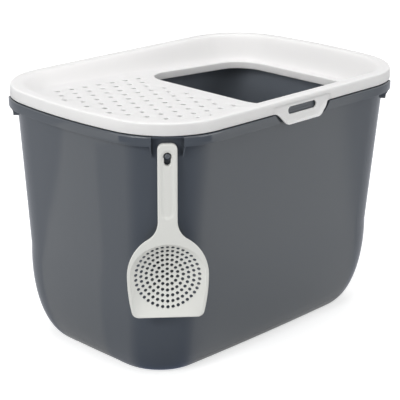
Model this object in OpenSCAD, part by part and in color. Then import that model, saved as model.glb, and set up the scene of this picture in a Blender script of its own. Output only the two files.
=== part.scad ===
// Top entry litter box: a deep tapered tub, a dished lid with a perforated tread and a
// large entry opening, two flexing latch tabs on the lid's long sides, and a sifting
// scoop that hangs on a peg at one corner. Millimetres, +Z up, +X along the length
// towards the entry. The origin is the middle of the footprint, at the floor.

/* [Overall] */
// Length over the tub's rim
box_l = 585; // [500:1:702]
// Width over the tub's rim
box_w = 396; // [330:1:475]
// Height from the floor to the lid's crest
box_h = 401.5; // [334:0.5:481]
// Corner radius of the rim, seen from above
corner_r = 111; // [93:1:133]
// How far each short end bulges past a straight line
end_bow = 26; // [16:1:31]
// How far each long side bulges past a straight line
side_bow = 2.5; // [1:0.1:5]

/* [Tub] */
// Wall thickness of the tub
tub_wall = 2.8; // [2.2:0.1:3.4]
// Height of the tub's outer rim band
rim_h = 14; // [11:0.5:18]
// How far the rim band stands out past the wall
rim_overhang = 12.4; // [11:0.1:16]
// Inward taper of the wall for each millimetre down
wall_taper = 0.079; // [0.05:0.001:0.1]
// Height over which the wall curves in to the base
heel_h = 146; // [120:1:175]
// How far the wall curves in over that height
heel_w = 43; // [36:1:52]
// Corner radius of the base, seen from above
base_r = 68; // [57:1:80]
// How far each short end of the base bulges
base_end_bow = 3.4; // [2:0.1:6]
// How far each long side of the base bulges
base_side_bow = 4.5; // [3:0.1:6]
// Height of the moulded foot rails
rail_h = 6; // [4:0.5:8]
// Width of the open channel between the foot rails
channel_w = 104; // [80:1:130]

/* [Lid] */
// Wall thickness of the lid
lid_wall = 2.6; // [2.2:0.1:3.2]
// Height of the lid's skirt
skirt_h = 17.4; // [15:0.1:21]
// How far the skirt sits in from the rim's outer face
skirt_step = 2; // [1.5:0.1:3]
// How much the skirt draws in from its lower edge to its top
skirt_draft = 1.1; // [0.5:0.1:1.5]
// Shadow gap between the skirt and the rim
rim_gap = 1.5; // [1:0.1:3]
// Running clearance between the lid and the tub
lid_fit = 0.8; // [0.5:0.1:1.2]
// Width of the level crest around the dish
crest_w = 14; // [12:0.5:17]
// Width of the dish's sloping side, from the crest to the floor
dish_side_w = 31; // [26:0.5:34]
// Depth of the dish floor under the crest, at the lid's middle
dish_depth = 28.3; // [24:0.1:33]
// Fall of the dish floor for each millimetre towards the entry
floor_fall = 0.05; // [0.04:0.001:0.06]

/* [Tread] */
// Distance between the holes in a row
hole_pitch = 28; // [24:0.5:30]
// Diameter of a tread hole
hole_d = 8; // [6:0.1:9]
// Rows of holes
hole_rows = 11; // [9:2:11]
// Holes in each row
row_holes = 7; // [5:1:7]
// Distance from the tread's end of the box to the first holes
hole_start = 69.5; // [60:0.5:80]

/* [Entry] */
// Length of the entry opening
entry_l = 238; // [210:1:244]
// Width of the entry opening
entry_w = 265; // [220:1:272]
// Distance from the entry's end of the box to the opening
entry_inset = 61; // [58:0.5:70]
// Corner radius of the opening
entry_r = 46; // [40:1:60]
// Depth of the lip that hangs around the opening
entry_lip = 12; // [8:0.5:16]

/* [Latches] */
// Width of each latch at its hinge line
latch_root_w = 126; // [110:1:140]
// Height of the latch above the skirt's lower edge
latch_root_h = 9.5; // [8.5:0.5:12]
// How far the tab drops below the skirt's lower edge
tab_drop = 19.5; // [17:0.5:22]
// Width of the tab's straight lower edge
tab_w = 66; // [56:1:72]
// Width of the tab where it leaves the skirt
tab_flare_w = 114; // [106:1:118]
// Length of the finger slot
slot_l = 63; // [50:1:70]
// Height of the finger slot
slot_h = 11; // [9:0.5:12]
// How far the lip along the tab's edge stands out
lip_h = 4; // [2.5:0.1:4.5]
// Clearance around the latch
latch_fit = 0.3; // [0.2:0.05:0.5]

/* [Corner brackets] */
// Width of the notch in the rim at each corner
notch_w = 45; // [40:1:52]
// How far the bracket's webs reach below the rim
web_drop = 16; // [13:0.5:20]
// Thickness of the bracket's webs
web_t = 2; // [1.6:0.1:2.6]
// Diameter of the scoop peg
peg_d = 7.6; // [6.5:0.1:8.2]
// Upward slant of the peg, in degrees
peg_slant = 20; // [12:1:25]

/* [Scoop] */
// Length of the scoop
scoop_l = 255.5; // [240:0.5:285]
// Width of the scoop's bowl
bowl_w = 114.6; // [106:0.2:122]
// Depth of the bowl behind the scoop's face
bowl_depth = 19.2; // [15:0.1:19.5]
// Thickness of the scoop's sheet
scoop_wall = 2.4; // [2:0.1:2.8]
// How far inside the rim's corner the scoop's face hangs
face_in = 3; // [2:0.1:4]
// How far the scoop hangs off plumb, in degrees
hang_lean = 0.6; // [0:0.1:2]
// Width of the handle
handle_w = 27.4; // [24:0.1:32]
// Thickness of the handle
handle_t = 8; // [7:0.1:8.6]
// Diameter of a sifting hole
sift_d = 5; // [3.5:0.1:5.2]
// Distance between the rings of sifting holes
sift_pitch = 7.5; // [7.2:0.1:7.7]

/* [Hidden] */

tub_colour = [0.36, 0.38, 0.41];
lid_colour = [0.91, 0.9, 0.9];
scoop_colour = [0.89, 0.89, 0.87];

// Points on each quarter of an outline
end_steps = 5;
corner_steps = 9;
side_steps = 3;

half_l = box_l / 2;
half_w = box_w / 2;

// Heights, from the crest down
skirt_low = box_h - skirt_h;
rim_top = skirt_low - rim_gap;
rim_low = rim_top - rim_h;
flange_low = rim_top - tub_wall;
lid_under = box_h - lid_wall;
hinge_z = skirt_low + latch_root_h;
tab_low = skirt_low - tab_drop;

// Insets from the rim's outer face
crest_in = skirt_step + skirt_draft;
upstand_in = crest_in + lid_wall + lid_fit;
upstand_out = upstand_in + tub_wall;
roll_in = crest_in + crest_w;
foot_in = roll_in + dish_side_w;
round_r = 2.4;

// Radius of an arc with a given half chord and rise
function bow_radius(half_chord, rise) = (half_chord ^ 2 + rise ^ 2) / (2 * rise);

end_r = bow_radius(half_w, end_bow);
side_r = bow_radius(half_l, side_bow);

// Outlines, seen from above. A shape is [half length, half width, corner radius,
// end radius, side radius]; its arcs meet without a corner.
rim_shape = [half_l, half_w, corner_r, end_r, side_r];

function inset(shape, d) = [for (v = shape) v - d];
function blend(a, b, t) = a + (b - a) * t;

// Centre of the corner arc, which touches the end arc and the side arc from inside
function corner_centre(s) =
    let (ca = [s[0] - s[3], 0],
         cb = [0, s[1] - s[4]],
         da = s[3] - s[2],
         db = s[4] - s[2],
         gap = norm(cb - ca),
         u = (cb - ca) / gap,
         along = (da ^ 2 - db ^ 2 + gap ^ 2) / (2 * gap),
         across = sqrt(da ^ 2 - along ^ 2))
    ca + along * u + across * [-u[1], u[0]];

function arc(centre, r, a0, a1, steps) =
    [for (i = [0:steps - 1]) let (a = blend(a0, a1, i / steps)) centre + r * [cos(a), sin(a)]];

// One quarter, from the +X axis up to the +Y axis, without its last point
function quarter(s) =
    let (c = corner_centre(s),
         ca = [s[0] - s[3], 0],
         cb = [0, s[1] - s[4]],
         a1 = atan2(c[1] - ca[1], c[0] - ca[0]),
         a2 = atan2(c[1] - cb[1], c[0] - cb[0]))
    concat(arc(ca, s[3], 0, a1, end_steps),
           arc(c, s[2], a1, a2, corner_steps),
           arc(cb, s[4], a2, 90, side_steps));

function outline(s) =
    let (q = quarter(s), n = len(q), top = [0, s[1]], far = [-s[0], 0])
    concat(q, [top], [for (i = [n - 1:-1:1]) [-q[i][0], q[i][1]]],
           [far], [for (i = [1:n - 1]) [-q[i][0], -q[i][1]]],
           [-top], [for (i = [n - 1:-1:1]) [q[i][0], -q[i][1]]]);

function ring(s, z) = [for (p = outline(s)) [p[0], p[1], z]];

// Skin over a stack of rings with the same number of points: closed by caps, or by
// joining the last ring to the first
module loft(rings, loop = false) {
    n = len(rings[0]);
    m = len(rings);
    steps = loop ? m : m - 1;
    sides = [for (i = [0:steps - 1], j = [0:n - 1])
        let (a = i * n + j,
             b = i * n + (j + 1) % n,
             c = (i + 1) % m * n + (j + 1) % n,
             d = (i + 1) % m * n + j)
        each [[a, c, b], [a, d, c]]];
    caps = loop ? [] : [[for (j = [0:n - 1]) j], [for (j = [n - 1:-1:0]) (m - 1) * n + j]];
    polyhedron([for (r = rings) each r], concat(sides, caps), convexity = 8);
}

// Tub: the outline drawn in by d at a height; its corners tighten and its bulges settle
// towards the base
function drawn_in(d, z) =
    let (t = (rim_low - z) / rim_low, l = half_l - d, w = half_w - d)
    [l, w, blend(corner_r - rim_overhang, base_r, t),
     bow_radius(w, blend(end_bow, base_end_bow, t)),
     bow_radius(l, blend(side_bow, base_side_bow, t))];
function wall_shape(z) = drawn_in(rim_overhang + wall_taper * (rim_low - z), z);

// Outer and inner skins of the heel, at an angle down its quarter ellipse
function heel_ring(a, t) =
    let (z = heel_h - (heel_h - t) * sin(a),
         d = rim_overhang + wall_taper * (rim_low - heel_h) + heel_w - (heel_w - t) * cos(a))
    ring(inset(drawn_in(d - t, z), t), z);

function heel_angle(z, t) = asin((heel_h - z) / (heel_h - t));

heel_steps = 7;
floor_z = rail_h + tub_wall;
inner_end = heel_angle(floor_z, tub_wall);
ledge = tub_wall * 0.6;

module tub_shell() {
    outer = [
        for (i = [heel_steps:-1:1]) heel_ring(90 * i / heel_steps, 0),
        ring(wall_shape(heel_h), heel_h),
        ring(wall_shape(rim_low), rim_low),
        ring(inset(rim_shape, rim_overhang), flange_low),
        ring(inset(rim_shape, tub_wall), flange_low),
        ring(inset(rim_shape, tub_wall), rim_low),
        ring(rim_shape, rim_low),
        ring(rim_shape, rim_top - ledge),
        ring(inset(rim_shape, ledge), rim_top),
        ring(inset(rim_shape, upstand_in), rim_top),
        ring(inset(rim_shape, upstand_in), lid_under)];
    inner = [
        ring(inset(rim_shape, upstand_out), lid_under),
        ring(inset(rim_shape, upstand_out), rim_top),
        ring(inset(rim_shape, rim_overhang + tub_wall), rim_top - ledge),
        ring(inset(wall_shape(rim_low), tub_wall), rim_low),
        ring(inset(wall_shape(heel_h), tub_wall), heel_h),
        for (i = [1:heel_steps]) heel_ring(inner_end * i / heel_steps, tub_wall)];
    loft(concat(outer, inner));
}

// Frame of a corner: x points outwards along the corner's bisector from the rim's
// outer face, y runs across it
corner_mid = let (c = corner_centre(rim_shape))
    (atan2(c[1], c[0] - half_l + end_r) + atan2(c[1] - half_w + side_r, c[0])) / 2;
corner_out = [cos(corner_mid), sin(corner_mid)];
rim_corner = corner_centre(rim_shape) + corner_r * corner_out;
module at_corner(sx, sy) {
    translate([sx * rim_corner[0], sy * rim_corner[1], 0])
        rotate([0, 0, atan2(sy * corner_out[1], sx * corner_out[0])]) children();
}

// How far the wall's outer face lies inside the rim's corner, at a height above the heel
function wall_in(z) =
    let (s = wall_shape(z),
         q = rim_corner - corner_centre(s),
         along = q * corner_out)
    along - sqrt(along ^ 2 - q * q + s[2] ^ 2);

module notch_cut() {
    depth = upstand_in + lid_fit;
    translate([-depth + lid_fit, -notch_w / 2, rim_low - 1])
        cube([depth + 1, notch_w, rim_h + 2]);
}

// Webs on each side of the notch; below the rim they lean towards each other, and their
// outer edge runs in to a short upright foot
web_lean = 6;
web_foot_in = 8.3;
web_foot_h = 6.5;
module corner_webs() {
    reach = corner_r - sqrt(corner_r ^ 2 - (notch_w / 2 + web_t) ^ 2);
    low_z = rim_low - web_drop;
    root = wall_in(low_z) + reach + tub_wall * 0.6;
    high_root = rim_overhang + reach + 1;
    for (side = [-1, 1]) translate([0, side * (notch_w + web_t) / 2, 0]) {
        web([[-reach - 0.3, rim_top - ledge], [-reach - 0.3, rim_low],
             [-high_root, rim_low], [-high_root, rim_top - ledge]]);
        translate([0, 0, rim_low]) rotate([-side * web_lean, 0, 0]) translate([0, 0, -rim_low])
            web([[-reach - 0.3, rim_low + 1], [-web_foot_in, low_z + web_foot_h],
                 [-web_foot_in - 0.5, low_z], [-root, low_z], [-high_root, rim_low + 1]]);
    }
}

module web(profile) {
    translate([0, web_t / 2, 0]) rotate([90, 0, 0]) linear_extrude(web_t) polygon(profile);
}

peg_z = rim_low - 17.5;
peg_root = wall_in(peg_z) + tub_wall / 2;
function peg_crest(d) = peg_z + (peg_root - d) * tan(peg_slant) + peg_d / 2 / cos(peg_slant);

// Keyhole of the scoop, and the level of its dish's middle above its front edge
key_from_top = 13;
key_fit = 1.6;
key_low_fit = 0.9;
key_d = peg_d + 2 * key_fit;
key_low_d = peg_d + 2 * key_low_fit;
key_drop = 8.6;
hang_fit = 0.3;
key_top = scoop_l - key_from_top;
dish_mid = 59;

// The face hangs where face_in says, or further out where the bowl would come nearer than
// this to the tub's corner
bowl_fit = 1;
bowl_level = peg_crest(face_in) + hang_fit - key_top + dish_mid;
hang_in = min(face_in, wall_in(bowl_level) - bowl_depth - scoop_wall - bowl_fit);
tip_z = peg_crest(hang_in) + hang_fit - key_top;

// The peg reaches from inside the wall out to the scoop's face
peg_len = (peg_root - hang_in) / cos(peg_slant);
module scoop_peg() {
    translate([-peg_root, 0, peg_z]) rotate([0, 90 - peg_slant, 0])
        cylinder(d = peg_d, h = peg_len, $fn = 32);
}

// Recess in the rim behind a latch tab: a pocket with sloping ends and a closed back
recess_low_w = tab_flare_w - 16;
recess_top_w = tab_flare_w + 9;
recess_back = upstand_in - lid_fit;
recess_slope = (recess_top_w - recess_low_w) / 2 / rim_h;
module recess_block(front_in, back_in, side, over) {
    low = recess_low_w / 2 + side - over * recess_slope;
    top = recess_top_w / 2 + side + over * recess_slope;
    translate([0, -half_w + back_in, 0]) rotate([90, 0, 0])
        linear_extrude(back_in - front_in)
            polygon([[-low, rim_low - over], [low, rim_low - over],
                     [top, rim_top + over], [-top, rim_top + over]]);
}

module foot_channel() {
    translate([-half_l, -channel_w / 2, -1]) cube([box_l, channel_w, rail_h + 1]);
}

module tub() {
    color(tub_colour) {
        difference() {
            union() {
                tub_shell();
                for (turn = [0, 180]) rotate([0, 0, turn])
                    recess_block(ledge, recess_back + tub_wall, web_t, -0.2);
            }
            foot_channel();
            for (sx = [-1, 1], sy = [-1, 1]) at_corner(sx, sy) notch_cut();
            for (turn = [0, 180]) rotate([0, 0, turn]) recess_block(-1, recess_back, 0, 1);
        }
        for (sx = [-1, 1], sy = [-1, 1]) at_corner(sx, sy) corner_webs();
        at_corner(-1, -1) scoop_peg();
    }
}

// Lid: the dish falls from the crest to a sloping floor
function floor_z_at(x) = box_h - dish_depth - floor_fall * x;
function ease(t) = let (c = min(1, max(0, t))) c * c * (3 - 2 * c);
function dish_ring(d, under) =
    [for (p = outline(inset(rim_shape, d)))
        let (shift = under ? lid_wall : 0,
             drop = ease((d + shift - roll_in) / dish_side_w))
        [p[0], p[1], blend(box_h, floor_z_at(p[0]), drop) - shift]];

dish_steps = 7;
module lid_ring() {
    skirt_in = skirt_step + lid_wall;
    loft([
        ring(inset(rim_shape, skirt_in), skirt_low),
        ring(inset(rim_shape, skirt_step), skirt_low),
        ring(inset(rim_shape, crest_in), box_h - round_r),
        for (a = [30, 60, 90])
            ring(inset(rim_shape, crest_in + round_r * (1 - cos(a))),
                 box_h - round_r * (1 - sin(a))),
        for (i = [0:dish_steps]) dish_ring(roll_in + dish_side_w * i / dish_steps, false),
        for (i = [dish_steps:-1:0]) dish_ring(roll_in - lid_wall
            + (dish_side_w + lid_wall) * i / dish_steps, true),
        ring(inset(rim_shape, crest_in + lid_wall), lid_under)], loop = true);
}

row_pitch = hole_pitch * sqrt(3) / 2;
hole_sides = 20;
module tread_holes() {
    middle = (hole_rows - 1) / 2;
    for (row = [0:hole_rows - 1]) {
        away = abs(row - middle);
        // The outermost rows start one hole later, clear of the rounded corners
        start = (away % 2 == 0 ? 0.5 : 0) + (away == middle ? 1 : 0);
        for (i = [0:row_holes - 1])
            translate([-half_l + hole_start + (start + i) * hole_pitch,
                       (row - middle) * row_pitch])
                circle(d = hole_d, $fn = hole_sides);
    }
}

module rounded_rect(l, w, r) {
    square([l - 2 * r, w], center = true);
    square([l, w - 2 * r], center = true);
    for (sx = [-1, 1], sy = [-1, 1])
        translate([sx * (l / 2 - r), sy * (w / 2 - r)]) circle(r = r, $fn = 72);
}

// Turns flat work at z = 0 into the plane of the dish floor's top face
module on_floor() {
    tilt = atan(floor_fall);
    translate([0, 0, floor_z_at(0)]) rotate([0, tilt, 0]) children();
}

entry_x = half_l - entry_inset - entry_l / 2;
module lid() {
    plate = lid_wall - 0.1;
    color(lid_colour) {
        difference() {
            lid_ring();
            for (side = [0, 180]) rotate([0, 0, side]) latch_window();
        }
        on_floor() difference() {
            translate([0, 0, -plate]) linear_extrude(plate) difference() {
                polygon(outline(inset(rim_shape, foot_in - 1)));
                tread_holes();
            }
            translate([entry_x, 0, -plate - 1]) linear_extrude(plate + 2)
                rounded_rect(entry_l, entry_w, entry_r);
        }
        on_floor() translate([entry_x, 0, -entry_lip]) linear_extrude(entry_lip)
            difference() {
                rounded_rect(entry_l + 2 * lid_wall, entry_w + 2 * lid_wall,
                             entry_r + lid_wall);
                rounded_rect(entry_l, entry_w, entry_r);
            }
        // Rib that locates the lid inside the tub's upstand
        translate([0, 0, lid_under - locate_h]) linear_extrude(locate_h + 0.5) difference() {
            polygon(outline(inset(rim_shape, upstand_out + lid_fit)));
            polygon(outline(inset(rim_shape, upstand_out + lid_fit + locate_t)));
        }
    }
}
locate_h = 8;
locate_t = 1.8;

// Latches: drawn flat with x along the box and y up, y = 0 at the hinge line
draft_angle = atan(skirt_draft / (skirt_h - round_r));
tab_h = latch_root_h + tab_drop;
tab_corner_r = 13;
flare_r = 11;
module latch_window() {
    translate([-latch_root_w / 2, -half_w - 1, skirt_low - 1])
        cube([latch_root_w, skirt_step + skirt_draft + lid_wall + 1.5, latch_root_h + 1]);
}

// Right half of the tab's outline, from the foot's middle up to the hinge line
function fillet(p, a, b, r, steps) =
    let (u = (a - p) / norm(a - p),
         v = (b - p) / norm(b - p),
         half = acos(u * v) / 2,
         m = (u + v) / norm(u + v),
         c = p + m * r / sin(half),
         p0 = p + u * r / tan(half) - c,
         a0 = atan2(p0[1], p0[0]),
         turn = (u[0] * v[1] - u[1] * v[0] > 0 ? -1 : 1) * (180 - 2 * half))
    [for (i = [0:steps]) c + r * [cos(a0 + turn * i / steps), sin(a0 + turn * i / steps)]];

function tab_half() =
    let (foot = [tab_w / 2 + 4, -tab_h],
         hip = [tab_flare_w / 2, -latch_root_h],
         side = [latch_root_w / 2 - latch_fit, -latch_root_h])
    concat(fillet(foot, [0, -tab_h], hip, tab_corner_r, 6),
           fillet(hip, foot, side, flare_r, 5),
           [side, [side[0], 0]]);

module latch() {
    outer_in = skirt_step + skirt_draft * latch_root_h / (skirt_h - round_r);
    half = tab_half();
    color(lid_colour)
        translate([0, -half_w + outer_in, hinge_z]) rotate([90 - draft_angle, 0, 0]) {
            difference() {
                translate([0, 0, -lid_wall]) linear_extrude(lid_wall)
                    polygon(concat(half, reversed(mirrored(half))));
                translate([0, -latch_root_h, -lid_wall - 1]) linear_extrude(lid_wall + 2)
                    finger_slot();
            }
            finger_lip();
        }
}

module finger_slot() {
    square([slot_l - slot_h, slot_h], center = true);
    for (side = [-1, 1]) translate([side * (slot_l - slot_h) / 2, 0])
        circle(d = slot_h, $fn = 32);
}

// Lip that stands out along the tab's sides and lower edge, and thins up the sides
lip_t = 2;
lip_end_t = 0.6;
function turned_in(path) =
    let (n = len(path) - 1)
    [for (i = [0:n])
        let (d = path[min(i + 1, n)] - path[max(i - 1, 0)])
        path[i] + blend(lip_t, lip_end_t, i / n) * [-d[1], d[0]] / norm(d)];

module finger_lip() {
    outer = [for (p = tab_half()) if (p[1] < -latch_root_h - lip_end_t) p];
    inner = turned_in(outer);
    linear_extrude(lip_h) polygon(concat(
        reversed(outer), mirrored(outer), reversed(mirrored(inner)), inner));
}

function reversed(path) = [for (i = [len(path) - 1:-1:0]) path[i]];
function mirrored(path) = [for (p = path) [-p[0], p[1]]];

module latch_front() {
    latch();
}

module latch_rear() {
    rotate([0, 0, 180]) latch();
}

// Scoop: drawn in the corner's frame with z up from its front edge and its face at
// x = 0, then lifted so that its keyhole rests on the peg

// Bowl outline across y and z: half an ellipse above its widest line, a longer one below,
// and two rounded front corners
bowl_mid = 64;
bowl_top = 61.5;
bowl_low = 125;
tip_r = 10;
low_turn = asin((bowl_mid - tip_r * 0.8) / bowl_low);
tip_turn = 13;
tip_c = bowl_w / 2 * cos(low_turn) - tip_r * cos(tip_turn);
top_steps = 20;
low_steps = 5;
tip_steps = 4;
function bowl_edge(d) =
    let (w = bowl_w / 2 - d,
         top = [for (i = [0:top_steps]) let (a = 180 * i / top_steps)
             [w * cos(a), bowl_mid + (bowl_top - d) * sin(a)]],
         low = [for (i = [1:low_steps - 1]) let (a = low_turn * i / low_steps)
             [w * cos(a), bowl_mid - bowl_low * sin(a)]],
         tip = [for (i = [0:tip_steps]) let (a = -blend(tip_turn, 90, i / tip_steps))
             [tip_c, tip_r] + (tip_r - d) * [cos(a), sin(a)]])
    concat(top, [for (p = low) [-p[0], p[1]]], [for (p = tip) [-p[0], p[1]]],
           [for (i = [tip_steps:-1:0]) tip[i]], [for (i = [low_steps - 2:-1:0]) low[i]]);

// Edge of the dish pressed into the scoop's face
dish_top = 51;
land_w = 4.6;
dish_half_w = bowl_w / 2 - land_w;
dish_low = bowl_low - 2;
function dish_edge() =
    [for (p = bowl_edge(land_w)) p[1] > bowl_mid
        ? [p[0], bowl_mid + (p[1] - bowl_mid) * (dish_mid + dish_top - bowl_mid)
                 / (bowl_top - land_w)]
        : [p[0], bowl_mid - (bowl_mid - p[1]) * (bowl_mid - 1.2) / (bowl_mid - land_w)]];

// Depth of the dish's middle line, and its half width, at a height
function dish_floor(z) =
    let (up = (z - dish_mid) / dish_top, down = (dish_mid - z) / (dish_mid - 1.2))
    -bowl_depth * (up > 0 ? 1 - 0.42 * up ^ 2 - 0.58 * up ^ 4
                          : 1 - 0.62 * min(1, down) - 0.38 * min(1, down) ^ 2);
function dish_half(z) =
    let (t = z > bowl_mid ? (z - bowl_mid) / (dish_mid + dish_top - bowl_mid)
                          : (bowl_mid - z) / dish_low)
    max(1, dish_half_w * sqrt(max(0, 1 - t ^ 2)));
function dish_u(p) =
    let (q = min(1, abs(p[0]) / dish_half(p[1])))
    min(0, dish_floor(p[1])) * (1 - 0.76 * q ^ 2 - 0.24 * q ^ 4);

function dish_band(s, back) =
    [for (p = dish_edge())
        let (v = [p[0] * s, dish_mid + (p[1] - dish_mid) * s],
             u = s > 0.98 ? 0 : s < 0.05 ? dish_floor(dish_mid) : dish_u(v))
        [u - back, v[0], v[1]]];
function edge_band(d, u) = [for (p = bowl_edge(d)) [u, p[0], p[1]]];

module bowl() {
    loft(concat(
        [for (s = [0.02, 0.25, 0.5, 0.7, 0.86, 1]) dish_band(s, scoop_wall)],
        [edge_band(0.6, -scoop_wall), edge_band(0, -scoop_wall + 0.6),
         edge_band(0, -0.6), edge_band(0.6, 0)],
        [for (s = [1, 0.93, 0.86, 0.7, 0.5, 0.25, 0.02]) dish_band(s, 0)]));
}

sift_rings = [6, 14, 20, 26, 32, 38];
module sift_holes() {
    translate([-bowl_depth - scoop_wall - 2, 0, dish_mid]) rotate([0, 90, 0]) {
        cylinder(d = sift_d, h = bowl_depth + scoop_wall + 3, $fn = hole_sides);
        for (k = [0:len(sift_rings) - 1], i = [0:sift_rings[k] - 1])
            rotate([0, 0, 360 * i / sift_rings[k]]) translate([(k + 1) * sift_pitch, 0, 0])
                cylinder(d = sift_d, h = bowl_depth + scoop_wall + 3, $fn = hole_sides);
    }
}

// Handle with its neck, keyhole and thumb recess, drawn flat across y and z
neck_z = bowl_mid + bowl_top + 17.5;
neck_r = 30;
neck_turn = 56;
plate_turn = 36;
neck_steps = 8;
handle_corner_r = 8;
recess_d = 1.5;
recess_w = 18.5;
recess_low_z = neck_z + 13.5;
module upright(thick) {
    translate([-thick, 0, 0]) rotate([90, 0, 90]) linear_extrude(thick) children();
}

// The neck's fillet turns further in the sheet than in the thicker plate of the handle
module handle_shape(turn) {
    half = [for (i = [0:neck_steps]) let (a = 180 + turn * (1 - i / neck_steps))
               [handle_w / 2 + neck_r, neck_z] + neck_r * [cos(a), sin(a)]];
    foot = half[0] - [5, 9];
    polygon(concat([foot], half, [for (i = [neck_steps:-1:0]) [-half[i][0], half[i][1]]],
                   [[-foot[0], foot[1]]]));
    translate([-handle_w / 2, neck_z - 1])
        square([handle_w, scoop_l - neck_z + 1 - handle_corner_r]);
    translate([-handle_w / 2 + handle_corner_r, scoop_l - 2 * handle_corner_r])
        square([handle_w - 2 * handle_corner_r, 2 * handle_corner_r]);
    for (side = [-1, 1])
        translate([side * (handle_w / 2 - handle_corner_r), scoop_l - handle_corner_r])
            circle(r = handle_corner_r, $fn = 48);
}

module key_shape() {
    low_z = key_top - key_d / 2 - key_drop;
    translate([0, key_top - key_d / 2]) circle(d = key_d, $fn = 48);
    translate([-key_low_d / 2, low_z]) square([key_low_d, key_drop]);
    translate([0, low_z]) circle(d = key_low_d, $fn = 48);
}

module recess_shape() {
    high_z = key_top + 3.5 - recess_w / 2;
    translate([-recess_w / 2, recess_low_z]) square([recess_w, high_z - recess_low_z]);
    for (z = [recess_low_z, high_z]) translate([0, z]) circle(d = recess_w, $fn = 60);
}

module scoop() {
    pivot = [0, 0, key_top - key_d / 2];
    color(scoop_colour) at_corner(-1, -1)
        translate([-hang_in, 0, tip_z] + pivot) rotate([hang_lean, 0, 0])
            translate(-pivot) {
                difference() {
                    bowl();
                    sift_holes();
                }
                difference() {
                    union() {
                        upright(handle_t) handle_shape(plate_turn);
                        upright(scoop_wall) handle_shape(neck_turn);
                    }
                    translate([1, 0, 0]) upright(handle_t + 2) key_shape();
                    translate([1, 0, 0]) upright(recess_d + 1) recess_shape();
                }
            }
}

tub();
lid();
latch_front();
latch_rear();
scoop();
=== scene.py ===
"""Looks of the top entry litter box: a glossy moulded tub, a satin dished lid with its two
latches, and a sifting scoop on a corner peg. Metres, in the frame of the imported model."""

import math

import bpy
import numpy as np
from mathutils import Matrix, Vector
from mathutils.geometry import delaunay_2d_cdt


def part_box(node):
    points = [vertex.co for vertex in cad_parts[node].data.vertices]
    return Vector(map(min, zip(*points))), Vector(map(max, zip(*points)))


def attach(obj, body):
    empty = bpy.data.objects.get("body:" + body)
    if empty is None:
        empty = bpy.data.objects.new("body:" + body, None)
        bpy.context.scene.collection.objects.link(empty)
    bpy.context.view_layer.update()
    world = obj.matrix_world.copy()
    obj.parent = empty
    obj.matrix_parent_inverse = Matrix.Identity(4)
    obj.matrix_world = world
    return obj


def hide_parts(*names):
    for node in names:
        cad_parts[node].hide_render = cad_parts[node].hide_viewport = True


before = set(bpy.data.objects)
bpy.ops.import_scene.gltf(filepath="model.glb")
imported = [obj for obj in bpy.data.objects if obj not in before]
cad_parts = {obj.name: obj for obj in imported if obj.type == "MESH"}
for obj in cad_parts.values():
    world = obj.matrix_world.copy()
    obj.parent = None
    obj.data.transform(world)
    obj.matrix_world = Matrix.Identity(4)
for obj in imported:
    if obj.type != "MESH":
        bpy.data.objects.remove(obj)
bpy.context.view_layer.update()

# Overall sizes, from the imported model
HALF_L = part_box("tub")[1].x
LID_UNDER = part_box("tub")[1].z
BOX_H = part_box("lid")[1].z
LID_WALL = BOX_H - LID_UNDER

# Outline of the rim, seen from above
HALF_W = 0.198
CORNER_R = 0.111
END_BOW = 0.026
SIDE_BOW = 0.0025
END_STEPS = 14
CORNER_STEPS = 30
SIDE_STEPS = 24

# Tub
TUB_WALL = 0.0028
RIM_H = 0.014
RIM_OVERHANG = 0.0124
WALL_TAPER = 0.079
HEEL_H = 0.146
HEEL_W = 0.043
BASE_R = 0.068
BASE_END_BOW = 0.0034
BASE_SIDE_BOW = 0.0045
RAIL_H = 0.006
CHANNEL_W = 0.104
RIM_EDGE_R = 0.0017

# Lid
SKIRT_H = 0.0174
SKIRT_STEP = 0.002
SKIRT_DRAFT = 0.0011
RIM_GAP = 0.0015
LID_FIT = 0.0008
CREST_W = 0.014
DISH_SIDE_W = 0.031
DISH_DEPTH = 0.0283
FLOOR_FALL = 0.05
CREST_R = 0.0024
LOCATE_H = 0.008
LOCATE_T = 0.0018

# Tread
HOLE_PITCH = 0.028
HOLE_D = 0.008
HOLE_ROWS = 11
ROW_HOLES = 7
HOLE_START = 0.0695
DIMPLE_R = 0.0128
DIMPLE_DEPTH = 0.0006

# Entry opening
ENTRY_L = 0.238
ENTRY_W = 0.265
ENTRY_INSET = 0.061
ENTRY_R = 0.046
ENTRY_LIP = 0.012

# Latches
LATCH_ROOT_W = 0.126
LATCH_ROOT_H = 0.0095
TAB_DROP = 0.0195
TAB_W = 0.066
TAB_FLARE_W = 0.114
SLOT_L = 0.063
SLOT_H = 0.011
LIP_H = 0.004
TAB_CORNER_R = 0.013
FLARE_R = 0.011

# Pockets of the tub's rim, which the latches lie in
POCKET_LOW_W = TAB_FLARE_W - 0.016
POCKET_TOP_W = TAB_FLARE_W + 0.009

# Corner brackets
NOTCH_W = 0.045
WEB_DROP = 0.016
WEB_T = 0.002
WEB_LEAN = math.radians(6)
WEB_SET_BACK = 0.0003
WEB_FOOT_IN = 0.0083
WEB_FOOT_H = 0.0065
PEG_D = 0.0076
PEG_SLANT = math.radians(20)

# Scoop
SCOOP_L = 0.2555
BOWL_W = 0.1146
BOWL_DEPTH = 0.0192
SCOOP_WALL = 0.0024
FACE_IN = 0.003
HANG_LEAN = math.radians(0.6)
HANDLE_W = 0.0274
HANDLE_T = 0.008
SIFT_D = 0.005
SIFT_PITCH = 0.0075
SIFT_RINGS = (6, 14, 20, 26, 32, 38)

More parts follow.
